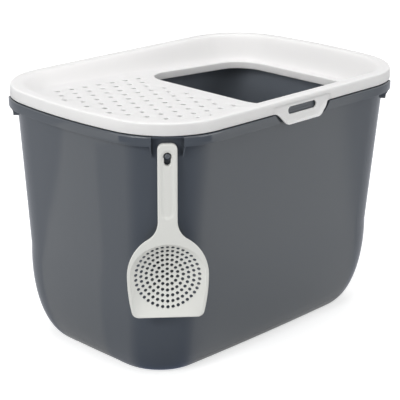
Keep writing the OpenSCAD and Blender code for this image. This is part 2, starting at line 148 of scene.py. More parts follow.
# Heights and insets that follow from those
SKIRT_LOW = BOX_H - SKIRT_H
RIM_TOP = SKIRT_LOW - RIM_GAP
RIM_LOW = RIM_TOP - RIM_H
HINGE_Z = SKIRT_LOW + LATCH_ROOT_H
CREST_IN = SKIRT_STEP + SKIRT_DRAFT
UPSTAND_IN = CREST_IN + LID_WALL + LID_FIT
UPSTAND_OUT = UPSTAND_IN + TUB_WALL
ROLL_IN = CREST_IN + CREST_W
PEG_Z = RIM_LOW - 0.0175

# How far a cutting tool, or the root of a piece that is joined on, reaches past a surface
PAST = 0.001


# Shapes in numbers


def unit(v):
    return v / np.linalg.norm(v)


def mix(a, b, t):
    return a + (b - a) * t


def ease(t):
    c = np.clip(t, 0, 1)
    return c * c * (3 - 2 * c)


class Form:
    """Points and faces of closed solids, before they become an object."""

    def __init__(self, points, faces):
        self.points = np.asarray(points, float).reshape(-1, 3)
        self.faces = [list(f) for f in faces]

    def __add__(self, other):
        shift = len(self.points)
        moved = [[i + shift for i in f] for f in other.faces]
        return Form(np.vstack([self.points, other.points]), self.faces + moved)

    def placed(self, matrix):
        m = np.array(matrix)
        return Form(self.points @ m[:3, :3].T + m[:3, 3], self.faces)

    def make(self, name):
        mesh = bpy.data.meshes.new(name)
        mesh.from_pydata(self.points.tolist(), [], self.faces)
        obj = bpy.data.objects.new(name, mesh)
        bpy.context.scene.collection.objects.link(obj)
        return obj


def loft(rings, loop=False):
    """Skin over a stack of rings: closed by flat caps, or by joining the last to the first."""
    rings = np.asarray(rings)
    m, n = rings.shape[:2]
    faces = []
    for i in range(m if loop else m - 1):
        a, b = i * n, (i + 1) % m * n
        faces += [[a + j, a + (j + 1) % n, b + (j + 1) % n, b + j] for j in range(n)]
    if not loop:
        faces += [list(range(n))[::-1], list(range((m - 1) * n, m * n))]
    return Form(rings.reshape(-1, 3), faces)


def flat_ring(flat, z):
    flat = np.asarray(flat)
    return np.column_stack([flat, np.full(len(flat), z)])


def prism(flat, low, high):
    return loft([flat_ring(flat, low), flat_ring(flat, high)])


def revolve(profile, sides):
    """Solid of revolution about Z from a profile of (radius, height), from the bottom up."""
    turn = np.arange(sides) * 2 * math.pi / sides
    circle = np.column_stack([np.cos(turn), np.sin(turn)])
    return loft([flat_ring(circle * r, z) for r, z in profile])


def rounded(corners, steps=4, closed=False):
    """Line through corners given as (a, b, radius), with each corner rounded."""
    flat = [np.array(c[:2], float) for c in corners]
    radii = [c[2] if len(c) > 2 else 0 for c in corners]
    count = len(flat)
    line = []
    for i, (corner, radius) in enumerate(zip(flat, radii)):
        if radius == 0 or (not closed and i in (0, count - 1)):
            line.append(corner)
            continue
        u = unit(flat[i - 1] - corner)
        v = unit(flat[(i + 1) % count] - corner)
        half = math.acos(u @ v) / 2
        centre = corner + unit(u + v) * radius / math.sin(half)
        reach = radius / math.tan(half)
        start, end = corner + u * reach - centre, corner + v * reach - centre
        turn = math.pi - 2 * half
        for t in np.linspace(0, 1, steps + 1):
            sweep = math.sin((1 - t) * turn) * start + math.sin(t * turn) * end
            line.append(centre + sweep / math.sin(turn))
    return np.array(line)


# Outlines of the tub and the lid: four arcs a side that meet without a corner


def bow_radius(half_chord, rise):
    return (half_chord**2 + rise**2) / (2 * rise)


RIM = np.array([HALF_L, HALF_W, CORNER_R,
                bow_radius(HALF_W, END_BOW), bow_radius(HALF_L, SIDE_BOW)])


def corner_centre(shape):
    half_l, half_w, corner, end, side = shape
    end_c = np.array([half_l - end, 0])
    side_c = np.array([0, half_w - side])
    da, db = end - corner, side - corner
    gap = np.linalg.norm(side_c - end_c)
    u = (side_c - end_c) / gap
    along = (da**2 - db**2 + gap**2) / (2 * gap)
    across = math.sqrt(da**2 - along**2)
    return end_c + along * u + across * np.array([-u[1], u[0]])


def outline(shape):
    """Closed outline of a shape given as half length, half width and three radii."""
    half_l, half_w, corner, end, side = shape
    c = corner_centre(shape)
    end_c = np.array([half_l - end, 0])
    side_c = np.array([0, half_w - side])
    a1 = math.atan2(*(c - end_c)[::-1])
    a2 = math.atan2(*(c - side_c)[::-1])
    arcs = ((end_c, end, 0, a1, END_STEPS), (c, corner, a1, a2, CORNER_STEPS),
            (side_c, side, a2, math.pi / 2, SIDE_STEPS))
    quarter = []
    for centre, r, start, stop, steps in arcs:
        a = mix(start, stop, np.arange(steps) / steps)
        quarter.append(centre + r * np.column_stack([np.cos(a), np.sin(a)]))
    q = np.vstack(quarter + [[[0, half_w]]])
    flip_x, flip_y = np.array([-1, 1]), np.array([1, -1])
    return np.vstack([q[:-1], (q * flip_x)[:0:-1], -q[:-1], (q * flip_y)[:0:-1]])


def inset(shape, d):
    return shape - d


def ring(shape, z):
    return flat_ring(outline(shape), z)


def band(corners, steps=4):
    """Rings that follow the rim at (inset, height) corners given with their radii."""
    return [ring(inset(RIM, d), z) for d, z in rounded(corners, steps)]


# Frame of a corner: x outwards along its bisector from the rim's outer face

RIM_CENTRE = corner_centre(RIM)
CORNER_MID = (math.atan2(RIM_CENTRE[1], RIM_CENTRE[0] - HALF_L + RIM[3])
              + math.atan2(RIM_CENTRE[1] - HALF_W + RIM[4], RIM_CENTRE[0])) / 2
CORNER_OUT = np.array([math.cos(CORNER_MID), math.sin(CORNER_MID)])
RIM_CORNER = RIM_CENTRE + CORNER_R * CORNER_OUT


def at_corner(sx, sy):
    turn = math.atan2(sy * CORNER_OUT[1], sx * CORNER_OUT[0])
    place = Matrix.Translation((sx * RIM_CORNER[0], sy * RIM_CORNER[1], 0))
    return place @ Matrix.Rotation(turn, 4, "Z")


ALL_CORNERS = [at_corner(sx, sy) for sx in (-1, 1) for sy in (-1, 1)]
BOTH_SIDES = [Matrix.Identity(4), Matrix.Rotation(math.pi, 4, "Z")]


def repeated(form, places):
    total = form.placed(places[0])
    for place in places[1:]:
        total = total + form.placed(place)
    return total


# Nodes: arithmetic on a socket adds Math nodes to its tree


class Link:
    """An output socket that arithmetic can be written on."""

    def __init__(self, tree, socket):
        self.tree, self.socket = tree, socket

    def beside(self, output):
        """Another output of the same node."""
        return Link(self.tree, self.socket.node.outputs[output])

    def math(self, operation, *others):
        return self.tree.math(operation, self, *others)

    def __add__(self, other):
        return self.tree.math("ADD", self, other)

    def __sub__(self, other):
        return self.tree.math("SUBTRACT", self, other)

    def __rsub__(self, other):
        return self.tree.math("SUBTRACT", other, self)

    def __mul__(self, other):
        return self.tree.math("MULTIPLY", self, other)

    def __truediv__(self, other):
        return self.tree.math("DIVIDE", self, other)

    def __rtruediv__(self, other):
        return self.tree.math("DIVIDE", other, self)

    __radd__ = __add__
    __rmul__ = __mul__


class Tree:
    """A node tree that nodes are added to by type, settings and socket values."""

    def __init__(self, tree):
        self.tree = tree

    def math(self, operation, *values):
        return self.add("ShaderNodeMath", {"operation": operation}, dict(enumerate(values)))

    def add(self, kind, settings=None, values=None, output=0):
        node = self.tree.nodes.new(kind)
        for key, value in (settings or {}).items():
            setattr(node, key, value)
        for key, value in (values or {}).items():
            for part in value if isinstance(value, list) else [value]:
                if isinstance(part, Link):
                    self.tree.links.new(part.socket, node.inputs[key])
                else:
                    node.inputs[key].default_value = part
        return Link(self, node.outputs[output]) if node.outputs else None


def emptied(owner):
    """Node tree of a new material or world, without the nodes it comes with."""
    owner.use_nodes = True
    owner.node_tree.nodes.clear()
    return Tree(owner.node_tree)


# Objects


def baked(obj):
    """Replaces an object's mesh by what its modifiers make of it, and removes them."""
    graph = bpy.context.evaluated_depsgraph_get()
    graph.update()
    mesh = bpy.data.meshes.new_from_object(obj.evaluated_get(graph))
    obj.modifiers.clear()
    obj.data = mesh
    return obj


def softened(form, width):
    """A form with its edges rounded over."""
    obj = form.make("softened")
    bevel = obj.modifiers.new("edges", "BEVEL")
    bevel.width, bevel.segments, bevel.limit_method = width, 3, "ANGLE"
    mesh = baked(obj).data
    points = [v.co[:] for v in mesh.vertices]
    faces = [p.vertices[:] for p in mesh.polygons]
    bpy.data.objects.remove(obj)
    return Form(points, faces)


def carved(obj, form, operation):
    """Adds a form to an object (UNION) or cuts it out (DIFFERENCE)."""
    tool = form.make("tool")
    modifier = obj.modifiers.new("carve", "BOOLEAN")
    modifier.operation, modifier.solver, modifier.object = operation, "MANIFOLD", tool
    baked(obj)
    bpy.data.objects.remove(tool)
    return obj


def through_nodes(obj, tree, inputs):
    """Runs a Geometry Nodes tree on an object and keeps the result as its mesh."""
    modifier = obj.modifiers.new("nodes", "NODES")
    modifier.node_group = tree.tree
    for item in tree.tree.interface.items_tree:
        if item.item_type == "SOCKET" and item.in_out == "INPUT" and item.name in inputs:
            modifier[item.identifier] = inputs[item.name]
    return baked(obj)


def finished(obj, material, body, node, sharp=32):
    """Last steps of each piece: shading, material, and the calls that bind it to the frame."""
    mesh = obj.data
    mesh.polygons.foreach_set("use_smooth", [True] * len(mesh.polygons))
    mesh.set_sharp_from_angle(angle=math.radians(sharp))
    mesh.materials.clear()
    mesh.materials.append(material)
    mesh.update()
    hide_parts(node)
    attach(obj, body)
    return obj


# Materials


def plastic(name, colour, roughness, spread, grain, grain_size, sway=0.0, glow=0.0):
    """Moulded plastic: slightly uneven colour and gloss, a fine grain, and a slow sway of the
    skin. Glow is how much of it lets light seep through its wall. Faces whose inner_skin is 1
    have the matt finish of a mould's core side, and a colour painted paler: painted light
    for the shaded inside of the tub."""
    blotch, gloss_patch, sway_wave = 1 / 9.0, 1 / 60.0, 1 / 14.0
    # How much paler the inward faces are painted: painted light for the shaded inside of the tub.
    inner_painted_light, inner_roughness = 1.1, 0.6
    seep_reach = 0.004
    material = bpy.data.materials.new(name)
    tree = emptied(material)
    place = tree.add("ShaderNodeTexCoord", output="Object")

    def noise(size, detail):
        return tree.add("ShaderNodeTexNoise", {}, {
            "Vector": place, "Scale": 1 / size, "Detail": detail}, output="Fac")

    inner = tree.add("ShaderNodeAttribute", {"attribute_name": "inner_skin"}, output="Fac")
    # Random blotches of tone; inward faces are also painted paler, as painted light inside the
    # tub.
    shade = (noise(blotch, 2.0) * (2 * spread) + (1 - spread)) * (1 + inner * inner_painted_light)
    grey = tree.add("ShaderNodeCombineColor", {}, {"Red": shade, "Green": shade, "Blue": shade})
    tint = tree.add("ShaderNodeMix", {"data_type": "RGBA", "blend_type": "MULTIPLY"},
                    {"Factor": 1.0, "A": (*colour, 1), "B": grey}, output="Result")
    rough = (noise(gloss_patch, 3.0) * (0.3 * roughness) + 0.85 * roughness
             + inner * (inner_roughness - roughness))
    skin = noise(grain_size, 2.0) * grain + noise(sway_wave, 0.0) * sway
    bump = tree.add("ShaderNodeBump", {}, {"Strength": 1.0, "Distance": 1.0, "Height": skin})
    surface = tree.add("ShaderNodeBsdfPrincipled", {}, {
        "Base Color": tint, "Roughness": rough, "Normal": bump, "IOR": 1.5,
        "Subsurface Weight": glow, "Subsurface Radius": (1, 1, 1),
        "Subsurface Scale": seep_reach})
    tree.add("ShaderNodeOutputMaterial", {}, {"Surface": surface})
    return material


TUB_PLASTIC = plastic("slate_gloss", (0.080, 0.090, 0.105), roughness=0.09, spread=0.02,
                      grain=0.000002, grain_size=0.0006, sway=0.00001)
LID_PLASTIC = plastic("white_satin", (0.84, 0.83, 0.825), roughness=0.42, spread=0.008,
                      grain=0.00001, grain_size=0.0005, glow=1.0)
SCOOP_PLASTIC = plastic("warm_white_satin", (0.79, 0.79, 0.755), roughness=0.34, spread=0.008,
                        grain=0.000006, grain_size=0.0005)


# Tub


def drawn_in(d, z):
    """The tub's shape drawn in by d at a height: corners tighten and bulges settle downwards."""
    t = (RIM_LOW - z) / RIM_LOW
    half_l, half_w = HALF_L - d, HALF_W - d
    return np.array([half_l, half_w, mix(CORNER_R - RIM_OVERHANG, BASE_R, t),
                     bow_radius(half_w, mix(END_BOW, BASE_END_BOW, t)),
                     bow_radius(half_l, mix(SIDE_BOW, BASE_SIDE_BOW, t))])


def wall_shape(z):
    return drawn_in(RIM_OVERHANG + WALL_TAPER * (RIM_LOW - z), z)


def heel_ring(angle, t):
    """Ring of the heel's outer skin, or of the skin t inside it, at an angle down its curve."""
    z = HEEL_H - (HEEL_H - t) * math.sin(angle)
    top = RIM_OVERHANG + WALL_TAPER * (RIM_LOW - HEEL_H)
    d = top + HEEL_W - (HEEL_W - t) * math.cos(angle)
    return ring(inset(drawn_in(d - t, z), t), z)


def wall_in(z):
    """How far the wall lies inside the rim's corner, along the corner's bisector."""
    shape = wall_shape(z)
    q = RIM_CORNER - corner_centre(shape)
    along = q @ CORNER_OUT
    return along - math.sqrt(along**2 - q @ q + shape[2] ** 2)


def tub_skin():
    """Rings up the outside, over the rim and the upstand, and down the inside."""
    heel_steps, wall_steps = 26, 10
    wall = np.linspace(HEEL_H, RIM_LOW, wall_steps)
    floor_angle = math.asin((HEEL_H - RAIL_H - TUB_WALL) / (HEEL_H - TUB_WALL))
    edge = 0.0008
    flange_low = RIM_TOP - TUB_WALL
    rings = [heel_ring(a, 0) for a in np.linspace(math.pi / 2, 0, heel_steps)]
    rings += [ring(wall_shape(z), z) for z in wall[1:-1]]
    rings += band([
        (RIM_OVERHANG, RIM_LOW), (RIM_OVERHANG, flange_low, edge), (TUB_WALL, flange_low, edge),
        (TUB_WALL, RIM_LOW, edge), (0, RIM_LOW, edge), (0, RIM_TOP, RIM_EDGE_R),
        (UPSTAND_IN, RIM_TOP, edge / 2), (UPSTAND_IN, LID_UNDER, edge),
        (UPSTAND_OUT, LID_UNDER, edge), (UPSTAND_OUT, RIM_TOP, edge / 2),
        (RIM_OVERHANG + TUB_WALL, RIM_TOP - RIM_EDGE_R, edge),
        (RIM_OVERHANG + TUB_WALL, RIM_LOW)])
    rings += [ring(inset(wall_shape(z), TUB_WALL), z) for z in wall[::-1][1:-1]]
    rings += [heel_ring(a, TUB_WALL) for a in np.linspace(0, floor_angle, heel_steps)]
    return loft(rings)


def corner_webs():
    """Two webs beside the notch, leaning towards each other below the rim."""
    reach = CORNER_R - math.sqrt(CORNER_R**2 - (NOTCH_W / 2 + WEB_T) ** 2)
    low_z = RIM_LOW - WEB_DROP
    into_wall = 0.6 * TUB_WALL
    root = wall_in(low_z) + reach + into_wall
    high_root = RIM_OVERHANG + reach + PAST
    face = -reach - WEB_SET_BACK
    foot_slant, edge = 0.0005, 0.0004
    top = RIM_TOP - RIM_EDGE_R
    upright = Matrix.Rotation(math.pi / 2, 4, "X")
    post = [(face, top), (-high_root, top), (-high_root, RIM_LOW), (face, RIM_LOW)]
    blade = [(face, RIM_LOW + PAST), (-high_root, RIM_LOW + PAST), (-root, low_z),
             (-WEB_FOOT_IN - foot_slant, low_z), (-WEB_FOOT_IN, low_z + WEB_FOOT_H)]
    webs = []
    for side in (-1, 1):
        middle = Matrix.Translation((0, side * (NOTCH_W + WEB_T) / 2, 0))
        lean = (Matrix.Translation((0, 0, RIM_LOW)) @ Matrix.Rotation(-side * WEB_LEAN, 4, "X")
                @ Matrix.Translation((0, 0, -RIM_LOW)))
        for profile, turn in ((post, Matrix.Identity(4)), (blade, lean)):
            flat = prism(profile, -WEB_T / 2, WEB_T / 2)
            webs.append(softened(flat, edge).placed(middle @ turn @ upright))
    return webs


def scoop_peg():
    """Peg that slants up out of the wall, with its end rounded over."""
    root = wall_in(PEG_Z) + TUB_WALL / 2
    length = (root - FACE_IN) / math.cos(PEG_SLANT)
    r = PEG_D / 2
    crown, narrowing = 0.001, 0.25
    end = [(r * math.cos(a) * narrowing + r * (1 - narrowing),
            length - crown + crown * math.sin(a)) for a in np.linspace(0, math.pi / 2, 5)]
    peg = revolve([(r, 0)] + end, 36)
    return peg.placed(Matrix.Translation((-root, 0, PEG_Z))
                      @ Matrix.Rotation(math.pi / 2 - PEG_SLANT, 4, "Y"))


def latch_pocket(front_in, back_in, side, over):
    """Block with sloping ends behind a latch: the pocket, or the walls round it. Side and over
    are how far it reaches past the pocket's ends, and past the rim's top and low edge."""
    slope = (POCKET_TOP_W - POCKET_LOW_W) / 2 / RIM_H
    low = POCKET_LOW_W / 2 + side - over * slope
    top = POCKET_TOP_W / 2 + side + over * slope
    flat = [(-low, RIM_LOW - over), (low, RIM_LOW - over),
            (top, RIM_TOP + over), (-top, RIM_TOP + over)]
    stand = (Matrix.Translation((0, -HALF_W + back_in, 0))
             @ Matrix.Rotation(math.pi / 2, 4, "X"))
    return prism(flat, 0, back_in - front_in).placed(stand)


def foot_channel():
    """Tool that cuts the channel between the feet, and rounds the feet over beside it."""
    half, sole_r, roof_r = CHANNEL_W / 2, 0.0015, 0.002
    outer, under = half + 0.02, -0.003
    flat = rounded([(-outer, under), (outer, under), (outer, 0),
                    (half, 0, sole_r), (half, RAIL_H, roof_r), (-half, RAIL_H, roof_r),
                    (-half, 0, sole_r), (-outer, 0)], 5)
    lengthwise = Matrix(((0, 0, 1, 0), (1, 0, 0, 0), (0, 1, 0, 0), (0, 0, 0, 1)))
    return prism(flat, -HALF_L, HALF_L).placed(lengthwise)


def mark_inner_skin(obj):
    """Marks the faces that look towards the middle of the tub."""
    middle = (0, 0, 0.6 * RIM_TOP)
    inwards = -0.5
    mesh = obj.data
    count = len(mesh.polygons)
    normals, centres = np.empty(count * 3), np.empty(count * 3)
    mesh.polygons.foreach_get("normal", normals)
    mesh.polygons.foreach_get("center", centres)
    out = centres.reshape(-1, 3) - middle
    facing = (normals.reshape(-1, 3) * out).sum(1) / np.linalg.norm(out, axis=1)
    # These faces are made matt, and painted paler as painted light for the shaded inside.
    marks = mesh.attributes.new("inner_skin", "FLOAT", "FACE")
    marks.data.foreach_set("value", (facing < inwards).astype(np.float32))


def make_tub():
    tub = tub_skin().make("moulded_tub")
    back = UPSTAND_IN - LID_FIT
    walls_short = 0.0002
    walls = latch_pocket(RIM_EDGE_R, back + TUB_WALL, WEB_T, -walls_short)
    carved(tub, repeated(walls, BOTH_SIDES), "UNION")
    notch_r = 0.001
    notch = rounded([(-UPSTAND_IN, -NOTCH_W / 2, notch_r), (PAST, -NOTCH_W / 2, 0),
                     (PAST, NOTCH_W / 2, 0), (-UPSTAND_IN, NOTCH_W / 2, notch_r)],
                    4, closed=True)
    cuts = repeated(prism(notch, RIM_LOW - PAST, RIM_TOP + PAST), ALL_CORNERS)
    cuts = cuts + repeated(latch_pocket(-PAST, back, 0, PAST), BOTH_SIDES) + foot_channel()
    carved(tub, cuts, "DIFFERENCE")
    for web in corner_webs():
        carved(tub, repeated(web, ALL_CORNERS), "UNION")
    carved(tub, scoop_peg().placed(at_corner(-1, -1)), "UNION")
    mark_inner_skin(tub)
    return finished(tub, TUB_PLASTIC, "tub", "tub")


# Lid


def floor_z(x):
    return BOX_H - DISH_DEPTH - FLOOR_FALL * x


FLOOR_TILT = math.atan(FLOOR_FALL)
ON_FLOOR = Matrix.Translation((0, 0, floor_z(0))) @ Matrix.Rotation(FLOOR_TILT, 4, "Y")


def dish_ring(d, under):
    """Ring of the dish's top skin, or of the skin under it, at an inset from the rim."""
    shift = LID_WALL if under else 0
    flat = outline(inset(RIM, d))
    drop = ease((d + shift - ROLL_IN) / DISH_SIDE_W)
    z = mix(BOX_H, floor_z(flat[:, 0]), drop) - shift
    return np.column_stack([flat, z])


def lid_skin():
    """Rings out under the dish, round the skirt and the crest, and in over the dish."""
    dish = np.linspace(0, 1, 22)
    under = [dish_ring(ROLL_IN - LID_WALL + (DISH_SIDE_W + LID_WALL) * t, True)
             for t in dish[::-1]]
    inner_r, low_inner_r, low_outer_r = 0.001, 0.0008, 0.0009
    skirt_in = CREST_IN + LID_WALL
    seat_in, crest_flat_in = skirt_in + 0.004, ROLL_IN - 0.006
    skirt = band([
        (seat_in, LID_UNDER), (skirt_in, LID_UNDER, inner_r),
        (SKIRT_STEP + LID_WALL, SKIRT_LOW, low_inner_r), (SKIRT_STEP, SKIRT_LOW, low_outer_r),
        (CREST_IN, BOX_H, CREST_R), (crest_flat_in, BOX_H)], 6)
    top = [dish_ring(ROLL_IN + DISH_SIDE_W * t, False) for t in dish]
    return loft(under + skirt + top)


def rounded_rect(length, width, radius, steps=14):
    half_l, half_w = length / 2, width / 2
    return rounded([(half_l, -half_w, radius), (half_l, half_w, radius),
                    (-half_l, half_w, radius), (-half_l, -half_w, radius)], steps, closed=True)


def flare(radius, steps=6):
    """Offsets and heights of a rounded upper edge, as the tool that cuts it sees them."""
    turn = np.linspace(0, math.radians(80), steps)
    line = [(radius * (1 - math.cos(a)), radius * (math.sin(a) - 1)) for a in turn]
    return line + [(line[-1][0], 10 * PAST)]


def entry_shape(offset):
    return rounded_rect(ENTRY_L + 2 * offset, ENTRY_W + 2 * offset, ENTRY_R + offset)


ENTRY_PLACE = ON_FLOOR @ Matrix.Translation((HALF_L - ENTRY_INSET - ENTRY_L / 2, 0, 0))


def entry_band():
    """Block that the entry's turned-down lip is cut from."""
    edge = 0.0008
    levels = [(LID_WALL - edge, -ENTRY_LIP), (LID_WALL, edge - ENTRY_LIP), (LID_WALL, -PAST)]
    return loft([flat_ring(entry_shape(d), z) for d, z in levels]).placed(ENTRY_PLACE)


def entry_cut():
    """Tool that cuts the entry, with a rounded upper edge."""
    levels = [(0, -ENTRY_LIP - 10 * PAST)] + flare(0.0016)
    return loft([flat_ring(entry_shape(d), z) for d, z in levels]).placed(ENTRY_PLACE)


def locating_rib():
    """Rib under the crest that keeps the lid inside the tub's upstand."""
    near, edge = UPSTAND_OUT + LID_FIT, 0.0006
    far = near + LOCATE_T
    top, low = LID_UNDER + 0.0005, LID_UNDER - LOCATE_H
    section = [(near, top), (near, low, edge), (far, low, edge), (far, top)]
    return loft(band(section, 3)[::-1], loop=True)


def latch_window():
    """Tool that cuts a latch's window out of the skirt."""
    half = LATCH_ROOT_W / 2
    front, back = -HALF_W - PAST, -HALF_W + (CREST_IN + LID_WALL + 0.0015)
    flat = [(-half, front), (half, front), (half, back), (-half, back)]
    return prism(flat, SKIRT_LOW - PAST, HINGE_Z)


def tread_tool():
    """Tool that cuts one tread hole, with its softened edge and shallow dimple."""
    r, edge, sides = HOLE_D / 2, 0.0007, 36
    low, high = -DIMPLE_DEPTH, 0.00002
    foot_z, head_z = -0.008, 0.004
    line = [(r, foot_z)]
    line += [(r + edge * (1 - math.cos(a)), low - edge + edge * math.sin(a))
             for a in np.linspace(0, math.radians(75), 4)]
    start = line[-1][0] + edge / 2
    for t in np.linspace(0.1, 1, 9):
        rise = (1 - math.cos(math.pi * t)) / 2
        line.append((mix(start, DIMPLE_R, t), mix(low, high, rise)))
    return revolve(line + [(DIMPLE_R, head_z)], sides)


def group_inputs(name, sockets):
    """New Geometry Nodes tree with named inputs, as (tree, a link for each input)."""
    group = bpy.data.node_groups.new(name, "GeometryNodeTree")
    group.interface.new_socket("Geometry", in_out="OUTPUT", socket_type="NodeSocketGeometry")
    for label, kind in {"Geometry": "Geometry", **sockets}.items():
        group.interface.new_socket(label, in_out="INPUT", socket_type="NodeSocket" + kind)
    tree = Tree(group)
    given = tree.add("NodeGroupInput")
    return tree, {label: given.beside(label) for label in ("Geometry", *sockets)}


def perforate(tree, links, points, turn, lift):
    """Ends a tree: copies of the tool on the points are cut out of the piece."""
    tool = tree.add("GeometryNodeObjectInfo", {}, {"Object": links["Tool"]}, output="Geometry")
    copies = tree.add("GeometryNodeInstanceOnPoints", {}, {"Points": points, "Instance": tool})
    solid = tree.add("GeometryNodeRealizeInstances", {}, {"Geometry": copies})
    aligned = tree.add("GeometryNodeTransform", {}, {
        "Geometry": solid, "Rotation": turn, "Translation": lift})
    holed = tree.add("GeometryNodeMeshBoolean", {"operation": "DIFFERENCE", "solver": "MANIFOLD"},
                     {"Mesh 1": links["Geometry"], "Mesh 2": aligned})
    plain = tree.add("GeometryNodeRealizeInstances", {}, {"Geometry": holed})
    done = tree.add("GeometryNodeSetMaterial", {}, {
        "Geometry": plain, "Material": links["Material"]})
    tree.add("NodeGroupOutput", {}, {"Geometry": done})


def tread_nodes():
    """Staggered rows of holes. The outermost rows start one hole later."""
    tree, links = group_inputs("tread_holes", {
        "Tool": "Object", "Rows": "Int", "Holes per Row": "Int", "Pitch": "Float",
        "Start": "Float", "Material": "Material"})
    index = tree.add("GeometryNodeInputIndex")
    rows, per_row = links["Rows"], links["Holes per Row"]
    row = (index / per_row).math("FLOOR")
    middle = (rows - 1) / 2
    away = (row - middle).math("ABSOLUTE")
    outermost = away.math("COMPARE", middle, 0.1)
    stagger = (1 - away.math("MODULO", 2)) / 2 + outermost
    x = links["Start"] + (stagger + index - row * per_row) * links["Pitch"]
    y = (row - middle) * links["Pitch"] * (math.sqrt(3) / 2)
    spot = tree.add("ShaderNodeCombineXYZ", {}, {"X": x, "Y": y})
    points = tree.add("GeometryNodePoints", {}, {"Count": rows * per_row, "Position": spot})
    perforate(tree, links, points, (0, FLOOR_TILT, 0), (0, 0, floor_z(0)))
    return tree


def make_lid():
    lid = lid_skin().make("dished_lid")
    carved(lid, entry_band(), "UNION")
    carved(lid, locating_rib(), "UNION")
    carved(lid, entry_cut() + repeated(latch_window(), BOTH_SIDES), "DIFFERENCE")
    tool = tread_tool().make("tread_tool")
    through_nodes(lid, tread_nodes(), {
        "Tool": tool, "Rows": HOLE_ROWS, "Holes per Row": ROW_HOLES, "Pitch": HOLE_PITCH,
        "Start": HOLE_START - HALF_L, "Material": LID_PLASTIC})
    bpy.data.objects.remove(tool)
    return finished(lid, LID_PLASTIC, "lid", "lid")


# Sheet pieces: a latch or the scoop, drawn flat with x across, y up and z outwards


def inside(points, loop):
    """Which points lie inside a closed loop."""
    x, y = points[:, :1], points[:, 1:]
    ax, ay = loop[:, 0], loop[:, 1]
    bx, by = np.roll(ax, -1), np.roll(ay, -1)
    spans = (ay > y) != (by > y)
    with np.errstate(divide="ignore", invalid="ignore"):
        crossing = ax + (y - ay) / (by - ay) * (bx - ax)
    return ((x < crossing) & spans).sum(1) % 2 == 1


def distance(points, line):
    """Distance of points from a dense line of points."""
    gaps = points[:, None, :] - line[None, :, :]
    return np.sqrt((gaps**2).sum(2).min(1))


def evenly(line, spacing, smoothing=0):
    """Closed line resampled at an even spacing, with small kinks smoothed out."""
    closed = np.vstack([line, line[:1]])
    run = np.concatenate([[0], np.cumsum(np.linalg.norm(np.diff(closed, axis=0), axis=1))])
    at = np.linspace(0, run[-1], int(run[-1] / spacing), endpoint=False)
    even = np.column_stack([np.interp(at, run, closed[:, k]) for k in (0, 1)])
    for _ in range(smoothing):
        even = (np.roll(even, 1, 0) + 2 * even + np.roll(even, -1, 0)) / 4
    return even


def sheet(loop, spacing, front, back, edge_r, creases=()):
    """Closed piece between a front and a back surface, with its edge rounded over. Creases are
    closed lines that its triangles follow."""
    edge_steps, clear, weld = 6, 0.55, 1e-7
    ahead = np.roll(loop, -1, 0) - np.roll(loop, 1, 0)
    inward = np.column_stack([-ahead[:, 1], ahead[:, 0]]) / np.linalg.norm(ahead, axis=1)[:, None]
    radius = edge_r(loop)
    rings = []
    for angle in np.linspace(0, math.pi / 2, edge_steps):
        flat = loop + inward * (radius * (1 - math.cos(angle)))[:, None]
        drop = radius * (1 - math.sin(angle))
        rings.append((flat, drop))
    heights = [np.column_stack([flat, back(flat) + drop]) for flat, drop in rings[::-1]]
    heights += [np.column_stack([flat, front(flat) - drop]) for flat, drop in rings]
    form = loft(heights)
    form.faces = form.faces[:-2]
    rim, count = rings[-1][0], len(loop)
    low, high = rim.min(0), rim.max(0)
    across = np.arange(low[0], high[0], spacing)
    up = np.arange(low[1], high[1], spacing * math.sqrt(3) / 2)
    grid = np.array([(x + (j % 2) * spacing / 2, y) for j, y in enumerate(up) for x in across])
    grid = grid[inside(grid, rim)]
    lines = [rim, *creases]
    grid = grid[distance(grid, np.vstack(lines)) > spacing * clear]
    flat = np.vstack([*lines, grid])
    edges, start = [], 0
    for line in lines:
        n = len(line)
        edges += [(start + k, start + (k + 1) % n) for k in range(n)]
        start += n
    found, _, triangles, origins, _, _ = delaunay_2d_cdt(
        [Vector(p) for p in flat], edges, [list(range(count))], 1, weld)
    found = np.array([p[:] for p in found])
    for surface, first, flip in ((front, (len(rings) * 2 - 1) * count, False), (back, 0, True)):
        shift = len(form.points)
        number = {}
        for k, came in enumerate(origins):
            on_rim = [i for i in came if i < count]
            number[k] = first + on_rim[0] if on_rim else shift + k
        form.points = np.vstack([form.points, np.column_stack([found, surface(found)])])
        for t in triangles:
            face = [number[k] for k in t]
            form.faces.append(face[::-1] if flip else face)
    used = sorted({i for f in form.faces for i in f})
    order = {old: new for new, old in enumerate(used)}
    return Form(form.points[used], [[order[i] for i in f] for f in form.faces])


# Latches


def latch_outline():
    """Tab hanging from its root, with y = 0 at the top of its window."""
    foot_spread, side_gap = 0.004, 0.00003
    foot = (TAB_W / 2 + foot_spread, -LATCH_ROOT_H - TAB_DROP, TAB_CORNER_R)
    hip = (TAB_FLARE_W / 2, -LATCH_ROOT_H, FLARE_R)
    side = LATCH_ROOT_W / 2 - side_gap
    right = [foot, hip, (side, -LATCH_ROOT_H, 0), (side, 0, 0)]
    left = [(-x, y, r) for x, y, r in right[::-1]]
    return rounded(right + left, 8, closed=True)


def finger_slot(offset):
    """Outline with round ends, at an offset from the slot's own."""
    half_h = SLOT_H / 2 + offset
    almost_round = 0.999 * half_h
    return rounded_rect(SLOT_L + 2 * offset, 2 * half_h, almost_round, 10)


